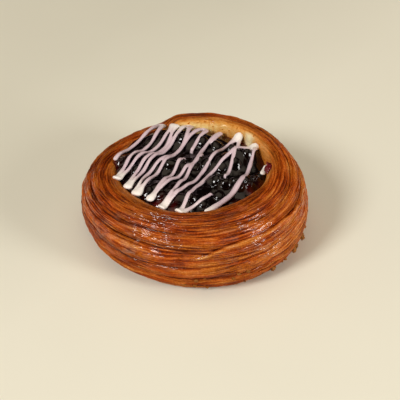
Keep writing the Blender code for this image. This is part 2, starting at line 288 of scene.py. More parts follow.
class Nodes:
    """Short calls for building a material's node tree."""

    def __init__(self, name):
        self.material = bpy.data.materials.new(name)
        self.material.use_nodes = True
        self.tree = self.material.node_tree
        self.surface = self.tree.nodes["Principled BSDF"]

    def put(self, socket, value):
        if isinstance(value, bpy.types.NodeSocket):
            self.tree.links.new(value, socket)
        elif value is not None:
            socket.default_value = value

    def add(self, kind, settings=None, **inputs):
        node = self.tree.nodes.new(kind)
        for key, value in (settings or {}).items():
            setattr(node, key, value)
        for key, value in inputs.items():
            self.put(node.inputs[key.replace("_", " ")], value)
        return node

    def attribute(self, name, field="Fac"):
        return self.add("ShaderNodeAttribute", {"attribute_name": name}).outputs[field]

    def math(self, operation, a, b=None, clamp=False):
        node = self.add("ShaderNodeMath", {"operation": operation, "use_clamp": clamp})
        self.put(node.inputs[0], a)
        self.put(node.inputs[1], b)
        return node.outputs[0]

    def span(self, value, low, high, to_low=0.0, to_high=1.0):
        """value taken from low..high to to_low..to_high, held at the ends."""
        node = self.add("ShaderNodeMapRange", {"clamp": True})
        for socket, number in zip(node.inputs, (value, low, high, to_low, to_high)):
            self.put(socket, number)
        return node.outputs[0]

    def mix(self, share, a, b, blend="MIX"):
        node = self.add("ShaderNodeMix", {"data_type": "RGBA", "blend_type": blend})
        self.put(node.inputs[0], share)
        self.put(node.inputs[6], a)
        self.put(node.inputs[7], b)
        return node.outputs[2]

    def noise(self, vector, scale, detail=3.0, roughness=0.55):
        settings = {"Vector": vector, "Scale": scale, "Detail": detail, "Roughness": roughness}
        node = self.add("ShaderNodeTexNoise", None, **settings)
        return node.outputs[0]

    def scaled(self, vector, scale):
        node = self.add("ShaderNodeVectorMath", {"operation": "MULTIPLY"})
        self.put(node.inputs[0], vector)
        self.put(node.inputs[1], scale)
        return node.outputs[0]

    def ramp(self, value, stops):
        node = self.add("ShaderNodeValToRGB")
        elements = node.color_ramp.elements
        while len(elements) < len(stops):
            elements.new(0.5)
        for element, (place, colour) in zip(elements, stops):
            element.position, element.color = place, (*colour, 1.0)
        self.put(node.inputs[0], value)
        return node.outputs[0]

    def bump(self, height, strength, distance, normal=None):
        node = self.add("ShaderNodeBump", None, Strength=strength, Distance=distance, Height=height)
        self.put(node.inputs["Normal"], normal)
        return node.outputs[0]

    def finish(self, **inputs):
        for key, value in inputs.items():
            self.put(self.surface.inputs[key.replace("_", " ")], value)
        return self.material


def crust_material():
    """Glazed brown crust: dark between the layers, partly its own colour and partly painted shade in the
    grooves, paler on the bands' upper edges as painted highlight, and golden on the inner wall.
    """
    n = Nodes("crust")
    flow = n.attribute("flow", "Vector")
    groove_tint_and_painted_shade, golden = n.attribute("groove_tint_and_painted_shade"), n.attribute("golden")
    veins = n.noise(n.scaled(flow, (0.035, 0.035, 0.85)), 1.0, 3.0, 0.6)
    streaks = n.noise(n.scaled(flow, (0.06, 0.06, 1.9)), 1.0, 3.0, 0.70)
    patches = n.noise(n.scaled(flow, (0.06, 0.06, 0.13)), 1.0, 3.0)
    specks = n.noise(n.scaled(flow, (1.3, 1.3, 2.0)), 1.0, 2.0, 0.70)
    fissure = n.span(n.math("ABSOLUTE", n.math("SUBTRACT", veins, 0.5)), 0.0, 0.022, 1.0, 0.0)
    fissure = n.math("MULTIPLY", fissure, n.span(specks, 0.36, 0.55))

    # Darker in the grooves and creases: partly the dough's own darker colour between layers, partly painted
    # shade.
    tone = n.math("SUBTRACT", 0.48, n.math("MULTIPLY", groove_tint_and_painted_shade, 0.42))
    tone = n.math("ADD", tone, n.span(streaks, 0.34, 0.66, -0.26, 0.26))
    tone = n.math("ADD", tone, n.span(patches, 0.35, 0.65, -0.12, 0.12))
    tone = n.math("ADD", tone, n.span(specks, 0.3, 0.7, -0.16, 0.16))
    tone = n.math("SUBTRACT", tone, n.math("MULTIPLY", fissure, 0.40))
    tone = n.math("SUBTRACT", tone, n.math("MULTIPLY", n.attribute("dim"), 0.10))
    # Paler on the bands' upper edges and the flap's raised edge: painted highlight, with the flap's own paler
    # dough.
    tone = n.math("ADD", tone, n.math("MULTIPLY", n.attribute("pale_and_painted_highlight"), 0.28), clamp=True)
    browns = (
        (0.00, (0.065, 0.006, 0.0005)),
        (0.25, (0.200, 0.025, 0.0010)),
        (0.52, (0.430, 0.072, 0.0040)),
        (0.78, (0.620, 0.165, 0.0220)),
        (1.00, (0.800, 0.340, 0.1000)),
    )
    ochres = (
        (0.00, (0.065, 0.008, 0.0005)),
        (0.25, (0.195, 0.032, 0.0012)),
        (0.52, (0.410, 0.098, 0.0070)),
        (0.78, (0.590, 0.205, 0.0320)),
        (1.00, (0.780, 0.400, 0.1300)),
    )
    tan = n.span(n.noise(n.scaled(flow, (0.05, 0.05, 0.32)), 1.0, 3.0), 0.42, 0.60)
    brown = n.mix(tan, n.ramp(tone, browns), n.ramp(tone, ochres))
    wall_tone = n.math("ADD", n.span(specks, 0.3, 0.7, 0.0, 0.22), n.span(patches, 0.35, 0.65, 0.05, 0.33))
    wall_tone = n.math("ADD", wall_tone, n.math("MULTIPLY", n.attribute("cream"), 0.62))
    burnt = n.span(n.noise(n.scaled(flow, (0.5, 0.5, 0.8)), 1.0, 0.0), 0.70, 0.76, 0.0, 0.7)
    wall_tone = n.math("SUBTRACT", wall_tone, burnt)
    # Darker in the wall's creases and the strip's grooves: painted shade, with the dough's own darker layer
    # lines.
    wall_tone = n.math("SUBTRACT", wall_tone, n.math("MULTIPLY", groove_tint_and_painted_shade, 0.7), clamp=True)
    walls = (
        (0.00, (0.48, 0.14, 0.010)),
        (0.28, (0.74, 0.32, 0.055)),
        (0.60, (0.88, 0.61, 0.23)),
        (1.00, (0.95, 0.83, 0.50)),
    )
    colour = n.mix(golden, brown, n.ramp(wall_tone, walls))

    glaze = n.span(n.noise(n.scaled(flow, (0.22, 0.22, 0.55)), 1.0, 2.0, 0.5), 0.42, 0.56)
    glaze = n.math("MULTIPLY", glaze, n.span(streaks, 0.36, 0.52))
    glaze = n.math("MULTIPLY", glaze, n.attribute("glaze"))
    fine = n.noise(n.scaled(flow, (0.14, 0.14, 2.3)), 1.0, 4.0, 0.70)
    pits = n.noise(n.scaled(flow, (1.2, 1.2, 1.9)), 1.0, 3.0, 0.70)
    layered = n.bump(fine, 0.55, 0.0007)
    glazed = n.bump(n.noise(n.scaled(flow, (0.40, 0.40, 1.1)), 1.0, 2.0), 0.8, 0.0005)
    normal = n.bump(fissure, 0.5, -0.0004, n.bump(pits, 0.6, 0.0006, layered))
    return n.finish(
        Base_Color=colour, Roughness=0.50, Normal=normal, Specular_IOR_Level=0.06,
        Coat_Weight=glaze, Coat_Roughness=0.06, Coat_IOR=1.7, Coat_Normal=glazed,
    )


def filling_material():
    """Near-black glossy jelly, dark red where it is thin."""
    n = Nodes("berry_filling")
    place = n.add("ShaderNodeTexCoord").outputs["Object"]
    cloud = n.noise(place, 260.0, 3.0)
    dark = n.ramp(cloud, ((0.35, (0.0008, 0.0002, 0.0002)), (0.7, (0.0045, 0.0011, 0.0007))))
    colour = n.mix(n.attribute("thin"), dark, (0.20, 0.003, 0.004, 1.0))
    rough = n.span(n.noise(place, 420.0, 2.0), 0.3, 0.7, 0.03, 0.12)
    ripples = n.bump(n.noise(place, 260.0, 2.0, 0.5), 0.45, 0.0010)
    normal = n.bump(n.noise(place, 900.0, 2.0, 0.5), 0.12, 0.0004, ripples)
    return n.finish(Base_Color=colour, Roughness=rough, Normal=normal, Specular_IOR_Level=0.45)


def icing_material():
    """Soft icing: cream where it is thick, tinted lilac by the filling where it is thin."""
    n = Nodes("icing")
    place = n.add("ShaderNodeTexCoord").outputs["Object"]
    patches = n.span(n.noise(place, 190.0, 2.0), 0.3, 0.7, -0.12, 0.12)
    tint = n.math("ADD", n.attribute("cream"), patches, clamp=True)
    colour = n.ramp(tint, ((0.0, (0.61, 0.475, 0.52)), (0.35, (0.73, 0.61, 0.62)), (0.9, (0.93, 0.88, 0.82))))
    normal = n.bump(n.noise(place, 700.0, 2.0), 0.15, 0.0003)
    return n.finish(Base_Color=colour, Roughness=0.22, Normal=normal, Specular_IOR_Level=0.45)


def floor_material():
    """A plain cream board, painted darker towards the back left: painted shade where the light falls off."""
    n = Nodes("floor")
    place = n.add("ShaderNodeTexCoord").outputs["Object"]
    # Painted shade: the board's colour darkens towards the back left, standing in for the lights' fall-off.
    back_left = n.scaled(place, (-0.8, 0.6, 0.0))
    parts = n.add("ShaderNodeSeparateXYZ", None, Vector=back_left)
    reach = n.math("ADD", parts.outputs["X"], parts.outputs["Y"])
    shade = n.span(reach, 0.02, 0.16, 0.0, 0.75)
    shade = n.math("ADD", shade, n.span(n.noise(place, 6.0, 3.0), 0.3, 0.7, -0.1, 0.1), clamp=True)
    colour = n.ramp(shade, ((0.0, (0.83, 0.82, 0.690)), (1.0, (0.69, 0.68, 0.56))))
    return n.finish(Base_Color=colour, Roughness=0.85, Specular_IOR_Level=0.1)


# --- The crust ------------------------------------------------------------------------------------


def section(degrees):
    """Radius and height of the ring's outline for each angle, and each point's distance up from the bulge."""
    bulge, top = bulge_radius(degrees), crest_height(degrees)
    wall = well_radius(degrees)
    crest, foot, wall_top = wall + lip_width(degrees), FOOT_SHARE * bulge, top - LIP_DROP

    share = np.linspace(0.0, 1.0, FOOT_RINGS + 1)[1:-1]
    foot_r, foot_z = foot * share, 0.0 * foot * share

    lean = np.radians(np.linspace(-90.0, 0.0, LOWER_RINGS, endpoint=False))
    lower_r = foot + (bulge - foot) * np.cos(lean)
    lower_z = BULGE_HEIGHT * (1.0 + np.sin(lean)) + 0.0 * degrees

    lean, power = np.radians(np.linspace(0.0, 90.0, UPPER_RINGS, endpoint=False)), 2.0 / SHOULDER_POWER
    upper_r = crest + (bulge - crest) * np.cos(lean) ** power
    upper_z = BULGE_HEIGHT + (top - BULGE_HEIGHT) * np.sin(lean) ** power

    lean = np.radians(np.linspace(90.0, 180.0, LIP_RINGS, endpoint=False))
    lip_r, lip_z = crest + (crest - wall) * np.cos(lean), wall_top + LIP_DROP * np.sin(lean)

    share = np.linspace(0.0, 1.0, WALL_RINGS)
    wall_r = wall + (FLOOR_RADIUS - wall) * share
    wall_z = wall_top + (FLOOR_HEIGHT - wall_top) * share

    radius = np.hstack([foot_r, lower_r, upper_r, lip_r, wall_r])
    height = np.hstack([foot_z, lower_z, upper_z, lip_z, wall_z])
    steps = np.hypot(np.diff(radius, axis=1), np.diff(height, axis=1))
    length = np.hstack([0.0 * degrees, np.cumsum(steps, axis=1)])
    bulge_ring = FOOT_RINGS - 1 + LOWER_RINGS
    return radius, height, length - length[:, bulge_ring : bulge_ring + 1]


def strip_wander(degrees, rise):
    """How far the strip's own lines stray from level as they go round."""
    sway = STRIP_SWAY * np.sin(np.radians(degrees - STRIP_SWAY_FROM))
    wander = 1.2 * SIZE * noise_sheet(degrees, rise, 6, 9.0, 3)
    wander = wander + 0.35 * SIZE * noise_sheet(degrees, rise, 20, 3.6, 5)
    return sway + wander + 0.12 * SIZE * noise_sheet(degrees, rise, 60, 1.8, 6)


def strip_level(degrees, rise):
    """Distance across the strip of dough, which climbs as it coils."""
    climb = BAND_CLIMB * BAND_WIDTH * turned(degrees, 180.0 + COIL_END) / 360.0
    return rise - climb - strip_wander(degrees, rise)


def flap_place(degrees, rise):
    """Where a point lies on the flap: its share across it, from -1 at the lower edge to 1, and along it."""
    past = degrees - FLAP_START
    middle = (5.6 + 3.4 * smooth_step(past, 0.0, 22.0) + 0.055 * past) * SIZE
    along = np.clip(past / FLAP_LENGTH, 0.0, 1.0)
    half = FLAP_HALF_WIDTH * np.sin(np.pi * along) ** 0.6 + 1e-3
    return (rise - middle) / half, along


def crease(place, width):
    """1 at the ends of each band and falling off in a sharp cusp; place runs from 0 to 1 across a band."""
    return np.exp(-np.minimum(place, 1.0 - place) / width)


def strip_relief(degrees, rise, crest_rise):
    """How far the bands and layers stand out, how dark a point is painted in the grooves (partly the dough's
    own colour, partly painted shade), and how pale it is painted (partly the flap's own paler dough, partly
    painted highlight on the upper edges).
    """
    level = strip_level(degrees, rise)
    outside = smooth_step(rise, -20.0 * SIZE, -14.0 * SIZE)
    outside = outside * (1.0 - 0.9 * smooth_step(rise - crest_rise, -0.5 * SIZE, 5.0 * SIZE))

    band_place = (level / BAND_WIDTH + BAND_PHASE) % 1.0
    band_share = np.clip(0.55 + 0.80 * noise_sheet(degrees, rise, 8, 7.0, 8), 0.0, 1.25)
    band = crease(band_place, 0.20) - 0.35
    band_groove = 0.8 * crease(band_place, 0.055) * band_share

    layer_place = (level * LAYERS_IN_BAND / BAND_WIDTH) % 1.0
    layer_share = np.clip(0.45 + 1.0 * noise_sheet(degrees, level, 30, 1.3, 13), 0.0, 1.3)
    layer_groove = crease(layer_place, 0.22)
    thin_place = (level * 2.0 * LAYERS_IN_BAND / BAND_WIDTH + 0.37) % 1.0
    thin_share = np.clip(0.3 + 1.0 * noise_sheet(degrees, level, 44, 0.8, 14), 0.0, 1.2)
    thin_groove = crease(thin_place, 0.26)

    across, along = flap_place(degrees, rise)
    on_flap = smooth_step(across, -1.15, -0.6) * (1.0 - smooth_step(across, 0.86, 1.06))
    on_flap = on_flap * (along > 0.0) * (along < 1.0)
    flap_groove = 0.8 * np.exp(-(((across - 1.15) / 0.18) ** 2)) * np.sin(np.pi * along) ** 0.5
    smooth = 1.0 - 0.75 * on_flap * smooth_step(across, -0.3, 0.4)
    layer_share, thin_share = layer_share * smooth, thin_share * smooth
    near_rim = 1.0 - 0.6 * smooth_step(rise, 22.0 * SIZE, 30.0 * SIZE)
    off_flap = near_rim * (1.0 - on_flap)
    band_groove, band_share = band_groove * off_flap, band_share * off_flap

    lumps = noise_sheet(degrees, rise, 60, 3.0, 21) + 0.7 * noise_sheet(degrees, rise, 150, 1.3, 22)
    relief = 0.22 * SIZE * lumps - BAND_DEPTH * band_share * band
    relief = relief - LAYER_DEPTH * layer_share * layer_groove - 0.6 * LAYER_DEPTH * thin_share * thin_groove
    relief = relief + FLAP_LIFT * (on_flap * (0.6 + 0.4 * across) - 0.8 * flap_groove)
    # Painted darkening in the grooves: partly the dough's own colour between layers, partly painted shade.
    groove_tint_and_painted_shade = layer_share * layer_groove + 0.55 * thin_share * thin_groove + band_groove + flap_groove
    groove_tint_and_painted_shade = np.clip(groove_tint_and_painted_shade - 0.12, 0.0, 1.4)
    # Painted highlight: the upper part of each band, below its proud top edge, is painted paler as if it
    # caught the light.
    edge = smooth_step(band_place, 0.35, 0.6) * (1.0 - smooth_step(band_place, 0.75, 0.95)) * band_share
    pale_and_painted_highlight = np.clip(edge * (1.0 - on_flap) * 0.35 + on_flap * smooth_step(across, -0.1, 0.7), 0.0, 1.0)
    return outside * relief, outside * groove_tint_and_painted_shade, outside * pale_and_painted_highlight


def wall_creases(degrees, inside):
    """Slanting creases in the inner wall, as deep as 1, where the coil's turns press together at the back."""
    slant = 9.0 * inside + 3.0 * noise_sheet(degrees, 4.0 * inside, 40, 1.0, 41)
    creases = sum(depth * swell(degrees + slant, at, 1.3) for at, depth in WALL_CREASES)
    return creases * smooth_step(inside, 0.25, 0.7)


def make_crust():
    degrees = np.linspace(0.0, 360.0, AROUND, endpoint=False)[:, None]
    radius, height, rise = section(degrees)
    crest_rise = rise[:, FOOT_RINGS - 1 + LOWER_RINGS + UPPER_RINGS][:, None]
    relief, groove_tint_and_painted_shade, pale_and_painted_highlight = strip_relief(degrees, rise, crest_rise)
    pale_side = swell(degrees, *PALE_SIDE)
    groove_tint_and_painted_shade, pale_and_painted_highlight = groove_tint_and_painted_shade * (1.0 - 0.3 * pale_side), np.minimum(pale_and_painted_highlight + 0.3 * pale_side, 1.0)
    inside = smooth_step(rise - crest_rise, 0.0, 5.0 * SIZE)
    creases = wall_creases(degrees, inside)
    # The creases are also painted darker through the groove darkening: painted shade.
    relief, groove_tint_and_painted_shade = relief - CREASE_DEPTH * creases, groove_tint_and_painted_shade + 0.35 * creases
    relief = relief + 0.5 * SIZE * inside * noise_sheet(degrees, rise, 16, 5.0, 51)
    slope_r, slope_z = np.gradient(radius, axis=1), np.gradient(height, axis=1)
    slope = np.maximum(np.hypot(slope_r, slope_z), 1e-6)
    out_r, out_z = radius + relief * slope_z / slope, height - relief * slope_r / slope
    out_z = np.maximum(out_z, 0.0)

    angle = np.radians(degrees)
    points = np.stack([out_r * np.cos(angle), out_r * np.sin(angle), out_z], axis=-1)
    rings = points.shape[1]
    grid = points.transpose(1, 0, 2).reshape(-1, 3)
    bottom, top = len(grid), len(grid) + 1
    faces = ring_faces(AROUND, rings)
    last = (rings - 1) * AROUND
    faces += [[bottom, (i + 1) % AROUND, i] for i in range(AROUND)]
    faces += [[top, last + i, last + (i + 1) % AROUND] for i in range(AROUND)]

    def per_point(values):
        return np.append(np.broadcast_to(values, out_r.shape).T.ravel(), [0.0, 0.0])

    golden = np.maximum(0.30 + 0.70 * swell(degrees, *GOLDEN_BACK), 0.4 * swell(degrees, *GOLDEN_LEFT))
    golden = inside * golden
    smear = swell(degrees, SMEAR_AT, SMEAR_SPREAD) * smooth_step(rise - crest_rise, 3.0 * SIZE, 5.5 * SIZE)
    golden = np.maximum(golden, smear)
    cream = smooth_step(rise - crest_rise, 2.0 * SIZE, 7.0 * SIZE) * swell(degrees, *CREAM_BACK)
    cream = cream + 1.6 * smear
    glaze = 0.3 * smooth_step(rise, -10.0 * SIZE, 0.0) * (1.0 - 0.5 * inside)
    for at, half_width, height, spread in GLOSSY_PLACES:
        glaze = glaze + swell(degrees, at, half_width) * np.exp(-(((rise / SIZE - height) / spread) ** 2))
    glaze = np.minimum(glaze, 1.0)
    dim = smooth_step(rise, DIM_FROM, DIM_TO) * (1.0 - inside) * (0.4 + 0.6 * swell(degrees, *DIM_FRONT))
    dim = np.maximum(dim, 0.6 * swell(degrees, *DARK_SIDE))
    level = rise - strip_wander(degrees, rise)
    flow = np.stack([out_r * np.cos(angle), out_r * np.sin(angle), level], axis=-1)
    flow = np.vstack([flow.transpose(1, 0, 2).reshape(-1, 3), np.zeros((2, 3))])
    attributes = {
        "groove_tint_and_painted_shade": per_point(groove_tint_and_painted_shade),
        "pale_and_painted_highlight": per_point(pale_and_painted_highlight),
        "golden": per_point(golden),
        "cream": per_point(cream),
        "dim": per_point(dim),
        "glaze": per_point(glaze),
        "flow": flow,
    }
    points = np.vstack([grid, [[0.0, 0.0, 0.0], [0.0, 0.0, FLOOR_HEIGHT]]])
    crust = mesh_object("crust", points, faces, attributes)
    crust.data.materials.append(crust_material())
    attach(crust, "root")
    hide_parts("dough")
    return crust


# --- The filling ----------------------------------------------------------------------------------

# Berries near the top of the filling: x, y and radius.
BERRIES = (
    (4.0, 24.0, 3.3), (11.0, 22.0, 3.4), (1.5, 10.0, 3.0), (9.0, -8.5, 3.6), (15.0, -11.5, 3.0),
    (11.5, -17.5, 2.8), (24.0, -8.0, 2.6), (28.5, -5.5, 2.7), (21.0, -13.0, 2.7), (-22.0, -16.0, 3.1),
    (-16.0, -19.0, 3.2), (-36.0, 9.5, 2.8), (-11.0, 4.0, 3.2), (18.0, 21.5, 2.8), (-6.0, 8.0, 2.6),
    (19.5, 4.5, 3.0), (13.0, 2.0, 2.6), (-3.0, -27.0, 2.8), (-28.0, 2.0, 2.8), (5.5, 6.0, 3.2),
    (26.0, 11.0, 2.8), (19.0, -6.5, 2.4), (-1.0, -22.5, 2.6), (4.5, -24.0, 2.4), (-26.0, -11.0, 2.6),
    (26.0, -12.0, 2.2), (-6.0, 26.0, 2.8), (24.5, 17.0, 2.4), (0.5, 3.5, 2.5), (31.0, -1.0, 2.3),
)


RED_SPOTS = (160.0, 237.0, 250.0, 330.0)  # where the filling's edge is thin and dark red


def berry_bumps(x, y):
    """How far the berries push the filling's top up."""
    bumps = np.zeros(np.broadcast(x, y).shape)
    for berry_x, berry_y, radius in BERRIES:
        apart = np.hypot(x - berry_x * SIZE, y - berry_y * SIZE) / (radius * SIZE)
        bumps = np.maximum(bumps, 0.70 * radius * SIZE * np.sqrt(np.clip(1.0 - apart**2, 0.0, 1.0)))
    return bumps


def filling_top(x, y):
    """Height of the finished top: broad lumps, berries, and the jelly between them."""
    place = np.stack(np.broadcast_arrays(x, y), axis=-1) / SIZE
    ripple = np.array([noise.noise(Vector((px * 0.28, py * 0.28, 4.0))) for px, py in place.reshape(-1, 2)])
    small = np.array([noise.noise(Vector((px * 0.75, py * 0.75, 9.0))) for px, py in place.reshape(-1, 2)])
    ripple, small = ripple.reshape(place.shape[:-1]), small.reshape(place.shape[:-1])
    return broad_top(x, y) - 0.9 * SIZE + berry_bumps(x, y) + (0.5 * ripple + 0.03 * small) * SIZE


def make_filling():
    degrees = np.linspace(0.0, 360.0, JAM_AROUND, endpoint=False)[None, :]
    angle = np.radians(degrees)
    edge = inner_radius(degrees, np.full_like(degrees, FILL_HEIGHT + 0.6 * SIZE)) + 0.5 * SIZE
    share = np.linspace(1.0, 0.0, JAM_RINGS, endpoint=False)[:, None]
    radius = edge * share
    x, y = radius * np.cos(angle), radius * np.sin(angle)
    z = filling_top(x, y)
    from_edge = (edge - radius) / SIZE
    z = z - (1.2 + 2.2 * swell(degrees, 208.0, 40.0)) * SIZE * np.exp(-from_edge / 2.2)
    z = np.minimum(z, crest_height(degrees) - 0.7 * SIZE + 0.5 * from_edge)

    base = np.stack([x[0] * 0.93, y[0] * 0.93, np.full(JAM_AROUND, FLOOR_HEIGHT + 0.5)], axis=-1)
    grid = np.vstack([base, np.stack([x, y, z], axis=-1).reshape(-1, 3)])
    low, high = len(grid), len(grid) + 1
    middle = float(filling_top(np.array([0.0]), np.array([0.0]))[0])
    faces = ring_faces(JAM_AROUND, JAM_RINGS + 1)
    last = JAM_RINGS * JAM_AROUND
    faces += [[low, (i + 1) % JAM_AROUND, i] for i in range(JAM_AROUND)]
    faces += [[high, last + i, last + (i + 1) % JAM_AROUND] for i in range(JAM_AROUND)]
    points = np.vstack([grid, [[0.0, 0.0, FLOOR_HEIGHT + 0.5], [0.0, 0.0, middle]]])

    stain = noise_sheet(degrees, 0.0 * degrees, 21, 5.0, 31)
    spots = sum(swell(degrees, at, 3.5) for at in RED_SPOTS)
    thin = np.exp(-from_edge / 1.6) * (0.4 + stain) + 1.2 * spots * np.exp(-from_edge / 2.4)
    thin = np.clip(thin, 0.0, 1.0)
    thin = np.concatenate([np.zeros(JAM_AROUND), thin.ravel(), [0.0, 0.0]])
    filling = mesh_object("berry_filling", points, faces, {"thin": thin})
    filling.data.materials.append(filling_material())
    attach(filling, "root")
    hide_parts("filling")
    return filling


# --- The icing ------------------------------------------------------------------------------------

STROKE_WIDTH, LAST_WIDTH = 1.8 * SIZE, 3.3 * SIZE
BLOB_LENGTH = 4.5 * SIZE
TURN_REACH = 1.3  # how far a round turn reaches past its strokes' ends, as a share of its gap
TURN_GAPS = [0.0] * len(TURNS)  # half the width of each round turn, and 0 at the sharp ones
TURN_GAPS[1], TURN_GAPS[5], TURN_GAPS[7] = 1.7 * SIZE, 1.5 * SIZE, 1.8 * SIZE
TURN_WIDTHS = (2.4, 2.6, 5.0, 5.8, 5.0, 2.8, 5.2, 2.4, 4.4, 2.6, 4.6, 4.3, 4.0, 4.3, 3.4)
TURN_WIDTHS = tuple(SIZE * wide for wide in TURN_WIDTHS)
CREAM_TURNS = (0.25, 0.2, 1.5, 1.3, 1.5, 0.4, 1.4, 0.2, 1.0, 0.2, 1.1, 1.2, 0.9, 1.2, 0.9)
SINK_DEPTH = 4.0 * SIZE
ICING_CLIMB = 1.2  # how steeply a stroke may climb the well's wall
SUNK_STROKES = {7: (0.27, 0.36), 8: (0.70, 0.80), 11: (0.52, 0.66)}  # where a stroke dips into the filling
STROKE_POINTS, STROKE_SIDES, TURN_POINTS = 90, 12, 30
DROP_POINTS, DROP_WIDTH, DROP_SEED = 14, 2.9 * SIZE, 77
ICING_VOXEL, DROP_VOXEL = 0.30, 0.20
CREAM_REACH, DROP_CREAM = 6.5 * SIZE, 0.9
WOBBLE, WOBBLE_RATE = 0.35, 9.0


def turn_places():
    """Where the zigzag turns, in x and y."""
    lean = math.radians(STROKE_LEAN)
    along, across = np.array((math.cos(lean), math.sin(lean))), np.array((math.sin(lean), -math.cos(lean)))
    return [(u * along + v * across) * SIZE for u, v in TURNS], across


def stroke_shift(place, sideways):
    """How far a stroke's end lies from its turn, to leave room for the round turn there."""
    inward = -abs(sideways[1]), -abs(sideways[0])
    return TURN_GAPS[place] * (sideways + TURN_REACH * np.array(inward))


def stroke_lines():
    """The middle line of each stroke, in x and y."""
    turns, across = turn_places()
    share = np.linspace(0.0, 1.0, STROKE_POINTS)
    for place, (bow, sway) in enumerate(BENDS):
        start = turns[place] + stroke_shift(place, across)
        end = turns[place + 1] + stroke_shift(place + 1, -across)
        aside = SIZE * (bow * np.sin(np.pi * share) + sway * np.sin(2.0 * np.pi * share))
        yield start + np.outer(share, end - start) + np.outer(aside, across)


def round_turn(place):
    """The middle line of the round turn that joins two strokes, without its ends."""
    turns, across = turn_places()
    outward = np.array((-across[1], across[0]))
    angle = np.linspace(0.0, math.pi, TURN_POINTS)[1:-1]
    forth, aside = TURN_REACH * (np.sin(angle) - 1.0), -np.cos(angle)
    return turns[place] + TURN_GAPS[place] * (np.outer(forth, outward) + np.outer(aside, across))


def stroke_widths(line, first, last, middle):
    """A stroke's width at each of its points: first and last at its ends, and middle in between."""
    steps = np.linalg.norm(np.diff(line, axis=0), axis=1)
    place = np.concatenate([[0.0], np.cumsum(steps)])
    from_first, from_last = place / BLOB_LENGTH, (place[-1] - place) / BLOB_LENGTH
    return middle + (first - middle) * np.exp(-(from_first**2)) + (last - middle) * np.exp(-(from_last**2))


def uneven(widths, seed):
    """The widths with a slow wobble along the bead."""
    share = np.linspace(0.0, 1.0, len(widths))
    wobble = np.array([noise.noise(Vector((3.0 * seed, at * WOBBLE_RATE, 1.0))) for at in share])
    return widths * (1.0 + WOBBLE * wobble)


def stroke_dip(seed):
    """How deep a stroke dips into the filling at each of its points."""
    share = np.linspace(0.0, 1.0, STROKE_POINTS)
    low, high = SUNK_STROKES.get(seed, (2.0, 3.0))
    return SINK_DEPTH * smooth_step(share, low - 0.03, low) * (1.0 - smooth_step(share, high, high + 0.03))


def softened(values, times):
    """The values evened out along a line."""
    for _ in range(times):
        values = np.convolve(np.pad(values, 1, "edge"), (0.25, 0.5, 0.25), "valid")
    return values


def icing_runs():
    """Each unbroken run of the zigzag: its middle line, its widths and its dips.  A sharp turn ends a run."""
    lines = list(stroke_lines())
    parts = []
    for seed, (line, first_wide, last_wide) in enumerate(zip(lines, TURN_WIDTHS, TURN_WIDTHS[1:])):
        wide = stroke_widths(line, first_wide, last_wide, STROKE_WIDTH)
        if seed == len(lines) - 1:
            growth = (LAST_WIDTH - STROKE_WIDTH) * np.linspace(-0.3, 1.1, len(line))
            wide = np.maximum(wide, STROKE_WIDTH + growth)
        parts.append((line, uneven(wide, seed), stroke_dip(seed)))
        if TURN_GAPS[seed + 1]:
            arc = round_turn(seed + 1)
            parts.append((arc, np.full(len(arc), last_wide), np.zeros(len(arc))))
        else:
            yield [np.concatenate(values) for values in zip(*parts)]
            parts = []


def bead(line, wide, dip):
    """Points and faces of one flattened bead of icing that lies on the filling and the lip."""
    heading = np.gradient(line, axis=0)
    heading /= np.linalg.norm(heading, axis=1, keepdims=True)
    steps = np.linalg.norm(np.diff(line, axis=0), axis=1)
    place = np.concatenate([[0.0], np.cumsum(steps)])
    ground = np.maximum(broad_top(line[:, 0], line[:, 1]), lip_top(line[:, 0], line[:, 1]))
    ground = (ground - ICING_CLIMB * np.abs(place[:, None] - place)).max(axis=1)
    ground = np.maximum(ground, softened(ground, 6)) - dip
    wide = softened(wide, 4)
    tall = 0.42 * wide + 0.75 * SIZE
    from_end = np.minimum(place, place[-1] - place) / (0.5 * wide)
    end_cap = np.sqrt(np.clip(1.0 - np.clip(1.0 - from_end, 0.0, 1.0) ** 2, 0.03, 1.0))
    points = []
    for side in range(STROKE_SIDES):
        turn = 2.0 * math.pi * side / STROKE_SIDES
        aside = 0.5 * wide * end_cap * math.cos(turn)
        x, y = line[:, 0] - heading[:, 1] * aside, line[:, 1] + heading[:, 0] * aside
        up = ground + 0.36 * tall + 0.5 * tall * end_cap * math.sin(turn)
        points.append(np.stack([x, y, up], axis=-1))
    points = np.stack(points, axis=1).reshape(-1, 3)
    faces = ring_faces(STROKE_SIDES, len(line))
    last = (len(line) - 1) * STROKE_SIDES
    faces += [list(range(STROKE_SIDES))[::-1], [last + i for i in range(STROKE_SIDES)]]
    return points, faces


def make_icing(material):
    points, faces = [], []
    for run in icing_runs():
        some_points, some_faces = bead(*run)
        first = sum(map(len, points))
        points.append(some_points)
        faces += [[corner + first for corner in face] for face in some_faces]
    rough = mesh_object("icing_beads", np.vstack(points), faces)
    remesh = rough.modifiers.new("joined", "REMESH")
    remesh.mode, remesh.voxel_size = "VOXEL", ICING_VOXEL * SIZE * MM
    smooth = rough.modifiers.new("softened", "SMOOTH")
    smooth.factor, smooth.iterations = 0.5, 4
    icing = settled(rough, "icing_zigzag")
    finish_icing(icing, "icing", material)
    return icing


def make_drop(material):
    line = np.linspace(*(np.array(end) * SIZE for end in DROP_ENDS), DROP_POINTS)
    points, faces = bead(line, uneven(np.full(DROP_POINTS, DROP_WIDTH), DROP_SEED), 0.0)
    drop = mesh_object("icing_drop_bead", points, faces)
    remesh = drop.modifiers.new("joined", "REMESH")
    remesh.mode, remesh.voxel_size = "VOXEL", DROP_VOXEL * SIZE * MM
    smooth = drop.modifiers.new("softened", "SMOOTH")
    smooth.factor, smooth.iterations = 0.5, 6
    drop = settled(drop, "icing_single_drop")
    finish_icing(drop, "icing_drop", material)
    return drop


